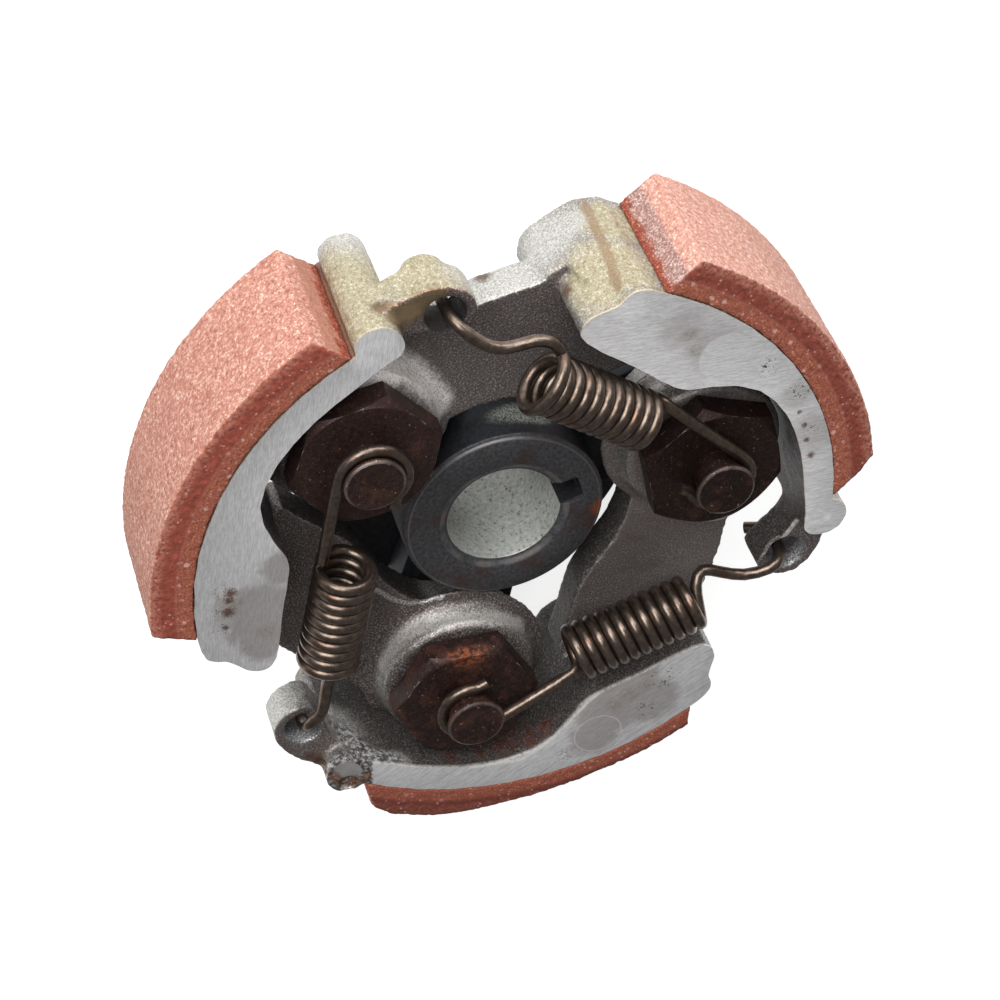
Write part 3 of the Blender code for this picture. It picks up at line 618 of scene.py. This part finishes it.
def rusty_steel(index):
    """The bolts: dark brown steel with reddish specks, and one rust patch on the third."""
    paint = Paint(f"rusty_steel_{index + 1}")
    grain = paint.noise(0.5, 6.0, 0.7)
    speck = paint.noise(0.22, 3.0, 0.7)
    broad = paint.noise(2.6, 4.0, 0.6)
    edge = paint.stored("edge")
    dark = (1.0, 0.5, 0.75)[index]
    steel = paint.ramp(grain, (0.3, (dark * 0.022, dark * 0.0105, dark * 0.009)),
                       (0.7, (dark * 0.062, dark * 0.035, dark * 0.03)))
    rust = paint.ramp(grain, (0.3, (0.05, 0.014, 0.008)), (0.8, (0.15, 0.05, 0.026)))
    patches = broad.between((0.54, 0.54, 0.46)[index], (0.7, 0.7, 0.62)[index]) * (0.5, 0.4, 0.5)[index]
    if index == 2:
        flecks = paint.noise(0.6, 4.0, 0.75).between(0.42, 0.58)
        patch = paint.spot(HEAD_RUST, 2.9, 0.6, 1.6, (0.8, 1.0, 0.45), -15.0) * (flecks * 0.6 + 0.3)
        patches = patches.most(patch)
        orange = paint.spot(HEAD_RUST, 2.2, 0.6, 1.6, (0.8, 1.0, 0.4), -15.0) * (flecks * 0.8 + 0.1)
        rust = paint.mix(orange, rust, (0.4, 0.1, 0.03))
    colour = paint.mix(patches * 0.8, steel, rust)
    colour = paint.mix(speck.between(0.6, 0.68) * 0.7, colour, (0.26, 0.085, 0.05))
    colour = paint.mix(paint.noise(0.4, 2.0, 0.6).between(0.69, 0.73) * 0.7, colour, (0.55, 0.36, 0.28))
    height = paint.part("Z")
    off = paint.polar_gap(PIN_PITCH, PIN_ANGLES[index])
    # A light ring round the stub's crown: painted highlight.
    crown_highlight = (height.between(STUB_FRONT - 0.28 * MM, STUB_FRONT - 0.12 * MM)
             * off.between_mm(STUB_R - 0.4, STUB_R - 0.24))
    crown_highlight = crown_highlight * paint.noise(3.0, 2.0).between(0.3, 0.6)
    # Narrow edge faces painted lighter: partly rubbed metal, partly painted highlight.
    rubbed = (edge * paint.noise(3.5, 2.0).between(0.42, 0.6)).most(crown_highlight * (0.6, 0.5, 0.3)[index])
    colour = paint.mix(rubbed * 0.7, colour, (0.32, 0.27, 0.24))
    normal = paint.bump(grain + speck * 0.5 + broad, 0.07, 0.6)
    return paint.finish(Base_Color=colour, Roughness=0.44 + patches * 0.3, Normal=normal,
                        Metallic=0.6 - patches * 0.4)


def spring_wire():
    """Bronze-brown oil-tempered wire with a little rust."""
    paint = Paint("spring_wire")
    grain = paint.noise(0.7, 4.0, 0.6)
    speck = paint.noise(0.25, 3.0, 0.7)
    colour = paint.ramp(grain, (0.3, (0.08, 0.056, 0.042)), (0.7, (0.2, 0.155, 0.127)))
    colour = paint.mix(paint.noise(2.2, 3.0).between(0.58, 0.7) * 0.5, colour, (0.13, 0.055, 0.035))
    colour = paint.mix(speck.between(0.7, 0.78) * 0.6, colour, (0.7, 0.6, 0.5))
    normal = paint.bump(grain + speck * 0.4, 0.02, 0.6)
    return paint.finish(Base_Color=colour, Roughness=0.25 + grain * 0.14, Normal=normal,
                        Metallic=0.76 + grain * 0.3)


# Shapes.


def placed(name, data):
    """A new object of the scene, at the origin."""
    obj = bpy.data.objects.new(name, data)
    bpy.context.scene.collection.objects.link(obj)
    return obj


def solid(name, bm):
    """An object that holds bm, which is in metres."""
    mesh = bpy.data.meshes.new(name)
    bm.to_mesh(mesh)
    bm.free()
    return placed(name, mesh)


def baked(obj):
    """A mesh of obj as it stands, with its modifiers."""
    graph = bpy.context.evaluated_depsgraph_get()
    graph.update()
    return bpy.data.meshes.new_from_object(obj.evaluated_get(graph))


def apply(obj, kind, **settings):
    """Adds a modifier to obj and makes its result obj's own mesh."""
    step = obj.modifiers.new(kind.title(), kind)
    for key, value in settings.items():
        setattr(step, key, value)
    mesh = baked(obj)
    obj.modifiers.clear()
    old = obj.data
    obj.data = mesh
    bpy.data.meshes.remove(old)


def combine(obj, other, how):
    """Cuts obj with other, or keeps what they share, and removes other."""
    apply(obj, "BOOLEAN", operation=how, solver="EXACT", object=other)
    bpy.data.objects.remove(other)


def bevel(obj, width, segments, angle):
    apply(obj, "BEVEL", width=width * MM, segments=segments, limit_method="ANGLE",
          angle_limit=math.radians(angle))


def smooth(obj, sharp):
    """Smooth faces, with sharp edges where they turn by more than sharp degrees."""
    bm = bmesh.new()
    bm.from_mesh(obj.data)
    bmesh.ops.remove_doubles(bm, verts=bm.verts, dist=1e-7)
    for face in bm.faces:
        face.smooth = True
    for edge in bm.edges:
        edge.smooth = len(edge.link_faces) == 2 and edge.calc_face_angle() < math.radians(sharp)
    bm.to_mesh(obj.data)
    bm.free()


def dress(obj, look, body, node=None):
    """Gives obj its look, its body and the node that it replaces."""
    obj.data.materials.clear()
    obj.data.materials.append(look)
    if body:
        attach(obj, body)
    if node:
        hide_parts(node)


def turned(name, profile, centre=(0.0, 0.0), steps=96):
    """A body of revolution about +Z. The profile, (radius, z) in millimetres, closes itself or runs
    from axis to axis."""
    bm = bmesh.new()
    loop = [bm.verts.new(Vector((r, 0.0, z)) * MM) for r, z in profile]
    edges = [bm.edges.new(pair) for pair in zip(loop, loop[1:])]
    if profile[0][0] > 0.0:
        edges.append(bm.edges.new((loop[-1], loop[0])))
    bmesh.ops.spin(bm, geom=loop + edges, cent=(0, 0, 0), axis=(0, 0, 1), angle=2 * math.pi,
                   steps=steps, use_merge=True)
    bmesh.ops.remove_doubles(bm, verts=bm.verts, dist=1e-7)
    bmesh.ops.translate(bm, vec=Vector((*centre, 0.0)) * MM, verts=bm.verts)
    bmesh.ops.recalc_face_normals(bm, faces=bm.faces)
    return solid(name, bm)


def block(name, outline, low, high):
    """A straight body over an outline; all in millimetres."""
    bm = bmesh.new()
    face = bm.faces.new([bm.verts.new(Vector((x, y, low)) * MM) for x, y in outline])
    grown = bmesh.ops.extrude_face_region(bm, geom=[face])["geom"]
    top = [v for v in grown if isinstance(v, bmesh.types.BMVert)]
    bmesh.ops.translate(bm, vec=(0, 0, (high - low) * MM), verts=top)
    bmesh.ops.recalc_face_normals(bm, faces=bm.faces)
    return solid(name, bm)


def clamped(value):
    return min(1.0, max(0.0, value))


def keep_edges(bm, pivot=None):
    """Stores how far each point bulges, how upright its faces stand and how far they look towards
    the clutch's axis, outside the boss round the shoe's own pivot."""
    edge = bm.verts.layers.float.new("edge")
    upright = bm.loops.layers.float.new("upright")
    inward = bm.loops.layers.float.new("inward")
    bm.normal_update()
    bulge, looks = {}, {}
    for vert in bm.verts:
        on_face = vert.co.z > FACE - 0.01 * MM
        walls = [face.normal * face.calc_area() for face in vert.link_faces
                 if not (on_face and face.normal.z > 0.99)]
        normal = sum(walls, Vector())
        if normal.length:
            normal.normalize()
        ring = [link.other_vert(vert).co for link in vert.link_edges]
        ring = [co for co in ring if (co - vert.co).length < 0.6 * MM]
        if ring:
            middle = sum(ring, Vector()) / len(ring)
            reach = sum((co - vert.co).length for co in ring) / len(ring)
            vert[edge] = (vert.co - middle).dot(normal) / max(reach, 1e-6)
        bulge[vert] = clamped((0.85 - normal.z) / 0.5)
        look = -normal.xy.dot(vert.co.xy.normalized())
        away = (vert.co.xy - pivot.xy).length / MM - PIVOT_BOSS_R if pivot else 0.0
        looks[vert] = bulge[vert] * clamped((look - 0.05) / 0.35) * clamped(away)
    for face in bm.faces:
        for loop in face.loops:
            loop[upright] = bulge[loop.vert]
            loop[inward] = looks[loop.vert]


def weathered(name, node, lift, voxel, passes, lumps, plugs=(), holes=(), inner=None, pivot=None,
              pads=()):
    """A CAD node's shape as one fine skin with worn edges. What lies on FACE is lifted first and cut
    flat afterwards. Plugs fill holes that are cut anew, and pads are added lumps."""
    bm = bmesh.new()
    bm.from_mesh(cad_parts[node].data)
    bmesh.ops.remove_doubles(bm, verts=bm.verts, dist=1e-6)
    for vert in bm.verts:
        if vert.co.z > FACE - 0.02 * MM:
            vert.co.z += lift * MM
        reach = math.hypot(vert.co.x, vert.co.y)
        if inner and reach < (inner + 0.6) * MM:
            vert.co.x *= inner * MM / reach
            vert.co.y *= inner * MM / reach
    bmesh.ops.recalc_face_normals(bm, faces=bm.faces)
    for centre, radius, depth in plugs:
        bmesh.ops.create_cone(bm, cap_ends=True, segments=32, radius1=radius * MM, radius2=radius * MM,
                              depth=depth * MM, matrix=Matrix.Translation(centre))
    for centre, size, turn in pads:
        place = Matrix.Translation(Vector(centre) * MM) @ Matrix.Rotation(math.radians(turn), 4, "Z")
        bmesh.ops.create_icosphere(bm, subdivisions=3, radius=MM,
                                   matrix=place @ Matrix.Diagonal((*size, 1.0)))
    obj = solid(name, bm)
    apply(obj, "REMESH", mode="VOXEL", voxel_size=voxel * MM)
    apply(obj, "SMOOTH", factor=0.5, iterations=passes)
    bm = bmesh.new()
    bm.from_mesh(obj.data)
    bm.normal_update()
    for vert in bm.verts:
        swell = sum(size * noise.noise(vert.co / (scale * MM)) for scale, size in lumps)
        vert.co += vert.normal * swell * MM
    if lift:
        everything = bm.verts[:] + bm.edges[:] + bm.faces[:]
        cut = bmesh.ops.bisect_plane(bm, geom=everything, dist=1e-7, plane_co=(0, 0, FACE),
                                     plane_no=(0, 0, 1), clear_outer=True)["geom_cut"]
        rim = [e for e in cut if isinstance(e, bmesh.types.BMEdge)]
        bmesh.ops.triangle_fill(bm, use_beauty=True, edges=rim, normal=(0, 0, 1))
    bm.to_mesh(obj.data)
    bm.free()
    for hole in holes:
        combine(obj, hole, "DIFFERENCE")
    bm = bmesh.new()
    bm.from_mesh(obj.data)
    for face in bm.faces:
        face.smooth = True
    for edge in bm.edges:
        rim = all(vert.co.z > FACE - 0.01 * MM for vert in edge.verts)
        if len(edge.link_faces) == 2 and edge.calc_face_angle() > math.radians(34):
            edge.smooth = not (rim or holes and near_hole(edge, plugs))
    keep_edges(bm, pivot)
    bm.to_mesh(obj.data)
    bm.free()
    return obj


def near_hole(edge, plugs):
    return any((vert.co.xy - centre.xy).length < 1.6 * radius * MM
               for centre, radius, _ in plugs for vert in edge.verts)


def build_shoe(index):
    """One shoe, with the hole in its lug cut anew, and chips broken out of shoe_c."""
    node = f"shoe_{LETTERS[index]}"
    middle = polar(LUG_PITCH, PIN_ANGLES[index] + LUG_TURN, LUG_FRONT - 0.5 * LUG_DEPTH)
    past = LUG_FRONT - LUG_DEPTH - 1.5
    eye = turned("lug_eye", (
        (0.0, past), (LUG_HOLE_R, past), (LUG_HOLE_R, LUG_FRONT - 0.45),
        (LUG_HOLE_R + 0.15, LUG_FRONT - 0.2), (LUG_HOLE_R + 0.9, LUG_FRONT + 0.5),
        (0.0, LUG_FRONT + 0.5)), (middle.x / MM, middle.y / MM), 48)
    cutters = [eye]
    for x, y, z, radius, depth in CHIPS if index == 2 else ():
        turns = [math.pi * step / 12 for step in range(1, 12)]
        bowl = [(radius * math.sin(t), z - depth * math.cos(t)) for t in turns]
        cutters.append(turned("chip", [(0.0, z - depth), *bowl, (0.0, z + depth)], (x, y), 32))
    shoe = weathered(f"{node}_casting", node, 1.6, 0.3, 5, ((2.2, 0.06), (0.8, 0.035)),
                     [(middle, LUG_HOLE_R + 0.45, LUG_DEPTH - 0.5)], cutters,
                     pivot=polar(PIN_PITCH, PIN_ANGLES[index - 1]),
                     pads=[(LUG_PAD, LUG_PAD_SIZE, LUG_PAD_TURN)] if index == 0 else [])
    dress(shoe, cast_iron(index), f"swing_{LETTERS[index]}", node)


def build_lining(index):
    """One lining, ragged at its ends, reaching down to its shoe."""
    node = f"lining_{LETTERS[index]}"
    lining = weathered(f"{node}_facing", node, 0.0, 0.22, 2, ((0.8, 0.07), (0.4, 0.06)),
                       inner=RIM_R + 0.03)
    dress(lining, friction_lining(index), f"swing_{LETTERS[index]}", node)


def lit_and_worn_rims(obj):
    """Marks the narrow faces of rounded edges, which are painted lighter: partly rubbed metal, partly painted
    highlight.
    """
    bm = bmesh.new()
    bm.from_mesh(obj.data)
    edge = bm.loops.layers.float.new("edge")
    for face in bm.faces:
        width = 2.0 * face.calc_area() / face.calc_perimeter()
        for loop in face.loops:
            loop[edge] = 1.0 if width < 0.1 * MM else 0.0
    bm.to_mesh(obj.data)
    bm.free()


def build_bolt(index):
    """A hexagon head with a domed front, its stub with a grooved neck, and its shank."""
    angle = PIN_ANGLES[index]
    name = f"bolt_{index + 1}"
    centre = polar(PIN_PITCH, angle) / MM
    middle = (centre.x, centre.y)
    front = HEAD_FRONT
    back = BOSS_FRONT + 0.3
    flat = HEX_R * math.cos(math.pi / 6)
    corners = [centre + polar(HEX_R, angle + HEX_TURNS[index] + 60.0 * i) / MM for i in range(6)]
    head = block(f"{name}_head", [(c.x, c.y) for c in corners], back, front)
    dome = turned("dome", (
        (0.0, back - 1.0), (HEX_R + 1.0, back - 1.0), (HEX_R + 1.0, front - 0.75 * (HEX_R + 1.0 - flat)),
        (flat, front), (0.0, front + 0.01)), middle, 128)
    combine(head, dome, "INTERSECT")
    bevel(head, 0.14, 3, 25)
    smooth(head, 35.0)
    lit_and_worn_rims(head)
    look = rusty_steel(index)
    dress(head, look, "carrier", f"pivot_bolt_{index + 1}")
    top = STUB_FRONT / MM
    stub = turned(f"{name}_stub", (
        (0.0, back), (NECK_R, back), (NECK_R, top - CROWN_DEPTH - 0.15), (STUB_R - 0.1, top - CROWN_DEPTH),
        (STUB_R, top - CROWN_DEPTH + 0.1), (STUB_R, top - 0.3), (STUB_R - 0.1, top - 0.12),
        (STUB_R - 0.3, top), (STUB_R - 0.55, top - 0.05), (0.0, top - 0.05)), middle)
    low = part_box(f"pivot_bolt_{index + 1}")[0].z / MM
    shank = turned(f"{name}_shank", (
        (0.0, low), (THREAD_R - 0.4, low), (THREAD_R, low + 0.4), (THREAD_R, low + THREAD_LENGTH),
        (SHANK_R, low + THREAD_LENGTH + 0.2), (SHANK_R, back + 0.2), (0.0, back + 0.2)), middle)
    for piece in (stub, shank):
        smooth(piece, 30.0)
        dress(piece, look, "carrier")


def build_hub():
    """The ring with its keyed bore, the flange behind it and the three arms under the bolts."""
    ground = GROUND / MM
    front = RING_FRONT / MM
    ring = turned("hub_ring", (
        (BORE_R + 0.5, ground), (HUB_R - 0.5, ground), (HUB_R, ground + 0.5),
        (HUB_R, front - 0.62), (HUB_R - 0.06, front - 0.42), (HUB_R - 0.3, front - 0.34),
        (HUB_R - 0.42, front - 0.08), (HUB_R - 0.6, front), (BORE_MOUTH_R + 0.1, front),
        (BORE_MOUTH_R - 0.08, front - 0.08), (BORE_R + 0.34, front - 0.34), (BORE_R + 0.1, front - 0.42),
        (BORE_R, front - 0.6), (BORE_R, ground + 0.5)), steps=160)
    along = polar(1.0, KEY_ANGLE) / MM
    side = polar(0.5 * KEY_WIDTH, KEY_ANGLE + 90.0) / MM
    slot = (along * 2.0 - side, along * KEY_REACH - side, along * KEY_REACH + side, along * 2.0 + side)
    key = block("keyway", [(p.x, p.y) for p in slot], ground - 2.0, front + 2.0)
    bevel(key, 0.35, 4, 40)
    combine(ring, key, "DIFFERENCE")
    bevel(ring, 0.16, 3, 50)
    smooth(ring, 30.0)
    look = dark_steel()
    dress(ring, look, "carrier", "hub")
    back = PLATE_BACK
    flange = turned("hub_flange", (
        (HUB_R - 0.4, back + 0.2), (FLANGE_R - 0.2, back + 0.2), (FLANGE_R, back + 0.4),
        (FLANGE_R, back + FLANGE_DEPTH - 0.2), (FLANGE_R - 0.2, back + FLANGE_DEPTH),
        (HUB_R - 0.4, back + FLANGE_DEPTH)), steps=128)
    smooth(flange, 30.0)
    dress(flange, look, "carrier")
    for index, angle in enumerate(PIN_ANGLES):
        pin = polar(PIN_PITCH, angle) / MM
        outline = [polar(ARM_ROOT_R, angle - ARM_ROOT_TURN) / MM]
        outline += [pin + polar(ARM_END_R, angle + 7.5 * i) / MM for i in range(-12, 13)]
        outline.append(polar(ARM_ROOT_R, angle + ARM_ROOT_TURN) / MM)
        outline += [polar(HUB_R - 1.4, angle + turn) / MM for turn in (40.0, 20.0, 0.0, -20.0, -40.0)]
        arm = block(f"hub_arm_{index + 1}", [(p.x, p.y) for p in outline], back, back + ARM_DEPTH)
        hole = turned("hole", ((0.0, back - 1.0), (ARM_HOLE_R, back - 1.0), (ARM_HOLE_R, back + 9.0),
                               (0.0, back + 9.0)), (pin.x, pin.y), 48)
        combine(arm, hole, "DIFFERENCE")
        bevel(arm, 0.3, 2, 50)
        smooth(arm, 35.0)
        dress(arm, look, "carrier")


def spring_path(index):
    """The points of the wire in metres, and where its coil and its lug end are."""
    angle = PIN_ANGLES[index]
    stub = polar(PIN_PITCH, angle) / MM
    hole = polar(LUG_PITCH, angle + STUB_TO_LUG_TURN) / MM
    along = (hole - stub).normalized()
    out = Vector((along.y, -along.x, 0.0))
    reach = (hole - stub).length
    hook, first_out, first_up, last_out, last_up = SPRINGS[index]

    def at(t, lateral, height):
        """A place t along from the stub, lateral out and height over the faces."""
        return (stub + along * t + out * lateral + Vector((0.0, 0.0, FACE / MM + height))) * MM

    bend = HOOK_RADII[index]
    flare = math.radians(HOOK_TURNS[index] - 6.0)
    path = [at(1.3 * bend * math.sin(flare), 1.3 * bend * math.cos(flare), hook)]
    for step in range(24, -1, -1):
        swing = math.radians(-14.0 + (HOOK_TURNS[index] + 20.0) * step / 24.0)
        path.append(at(bend * math.sin(swing), bend * math.cos(swing), hook))
    path.append(at(0.6, bend, hook))
    path.append(at(0.55 * COIL_START, 0.5 * (bend + COIL_R + first_out), 0.5 * (hook + first_up)))
    steps = 24
    for step in range(COIL_TURNS * steps + 1):
        share = step / (COIL_TURNS * steps)
        swing = 2.0 * math.pi * step / steps
        late = clamped((share * COIL_TURNS - COIL_TURNS + 0.9) / 0.7)
        swell = END_SWELL[index] * late * late
        lateral = first_out + (last_out - first_out) * share + (COIL_R + swell) * math.cos(swing)
        height = first_up + (last_up - first_up) * share - (COIL_R + 0.3 * swell) * math.sin(swing)
        if share > 1.0001 - COIL_CUT[index] / COIL_TURNS:
            break
        path.append(at(COIL_START + COIL_PITCH * step / steps, lateral, height))
    end = COIL_START + COIL_PITCH * COIL_TURNS
    path += [at(end + t, lateral, height) for t, lateral, height in LEADS[index]]
    tip = TIPS[index]
    for t, height in (*LUG_HOOK, (0.3 * tip - 0.3, -5.0), (tip, -5.8)):
        path.append(at(reach + t, 0.0, height - LUG_DROP))
    return path, at(COIL_START, 0.0, 0.0), at(reach - 1.0, 0.0, 0.0)


def build_spring(index, look):
    """The wire along its path, with rounded bends and cut ends."""
    path, start, end = spring_path(index)
    curve = bpy.data.curves.new(f"wire_{index}", "CURVE")
    curve.dimensions = "3D"
    curve.bevel_depth = WIRE_R * MM
    curve.bevel_resolution = 3
    curve.resolution_u = 2
    curve.use_fill_caps = True
    spline = curve.splines.new("NURBS")
    spline.points.add(len(path) - 1)
    for slot, place in zip(spline.points, path):
        slot.co = (*place, 1.0)
    spline.order_u = 3
    spline.use_endpoint_u = True
    wire = placed(f"wire_{index}", curve)
    mesh = baked(wire)
    bm = bmesh.new()
    bm.from_mesh(mesh)
    bmesh.ops.remove_doubles(bm, verts=bm.verts, dist=1e-7)
    bmesh.ops.recalc_face_normals(bm, faces=bm.faces)
    bpy.data.objects.remove(wire)
    bpy.data.meshes.remove(mesh)
    spring = solid(f"spring_{index + 1}_wire", bm)
    smooth(spring, 50.0)
    dress(spring, look, None, f"spring_{index + 1}")
    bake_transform(spring)


# Stage.


def build_stage():
    """A pale floor that the camera sees lit from within."""
    bm = bmesh.new()
    bmesh.ops.create_grid(bm, x_segments=1, y_segments=1, size=FLOOR_SIZE)
    bmesh.ops.translate(bm, vec=(0, 0, GROUND), verts=bm.verts)
    floor = solid("floor", bm)
    paint = Paint("pale_floor")
    seen = paint.node("ShaderNodeLightPath", {}, output="Is Camera Ray")
    for kind in ("Is Glossy Ray", "Is Transmission Ray"):
        seen = seen.most(paint.node("ShaderNodeLightPath", {}, output=kind))
    glow = paint.node("ShaderNodeEmission", {}, Strength=seen * FLOOR_GLOW)
    cloth = paint.node("ShaderNodeBsdfDiffuse", {}, (FLOOR_GREY, FLOOR_GREY, FLOOR_GREY, 1.0))
    both = paint.node("ShaderNodeAddShader", {}, cloth, glow)
    paint.tree.links.new(both.link, paint.tree.nodes["Material Output"].inputs["Surface"])
    paint.tree.nodes.remove(paint.shader)
    floor.data.materials.append(paint.material)


def build_lamp(name, place, size, watts):
    """A soft rectangle of light that looks at the clutch."""
    light = bpy.data.lights.new(name, "AREA")
    light.shape = "RECTANGLE"
    light.size, light.size_y = size
    light.energy = watts
    lamp = placed(name, light)
    lamp.location = place
    lamp.rotation_mode = "QUATERNION"
    lamp.rotation_quaternion = (-place).to_track_quat("-Z", "Y")


def build_light():
    """A dim white sky, a softbox at the side and a fill near the camera."""
    world = bpy.data.worlds.new("studio")
    world.use_nodes = True
    sky = world.node_tree.nodes["Background"]
    sky.inputs["Color"].default_value = (1.0, 1.0, 1.0, 1.0)
    sky.inputs["Strength"].default_value = SKY_STRENGTH
    bpy.context.scene.world = world
    build_lamp("side_softbox", Vector((0.62, 0.16, 0.15)), (0.6, 0.26), 2.6)
    fill = CAMERA_RIGHT * -0.15 + CAMERA_UP * 0.1 + CAMERA_BACK * 0.8
    build_lamp("front_fill", fill, (0.5, 0.5), 6.3)


def build_camera():
    camera = placed("camera", bpy.data.cameras.new("camera"))
    turn = Matrix((CAMERA_RIGHT, CAMERA_UP, CAMERA_BACK)).transposed().to_4x4()
    camera.matrix_world = Matrix.Translation(CAMERA_AT) @ turn
    camera.data.lens = CAMERA_LENS
    camera.data.sensor_width = CAMERA_SENSOR
    camera.data.clip_start = 0.01
    camera.data.clip_end = 10.0
    bpy.context.scene.camera = camera


def main():
    for index in range(3):
        build_shoe(index)
        build_lining(index)
        build_bolt(index)
    build_hub()
    wire = spring_wire()
    for index in range(3):
        build_spring(index, wire)
    build_stage()
    build_light()
    build_camera()
    bpy.context.scene.view_settings.view_transform = "Standard"


main()
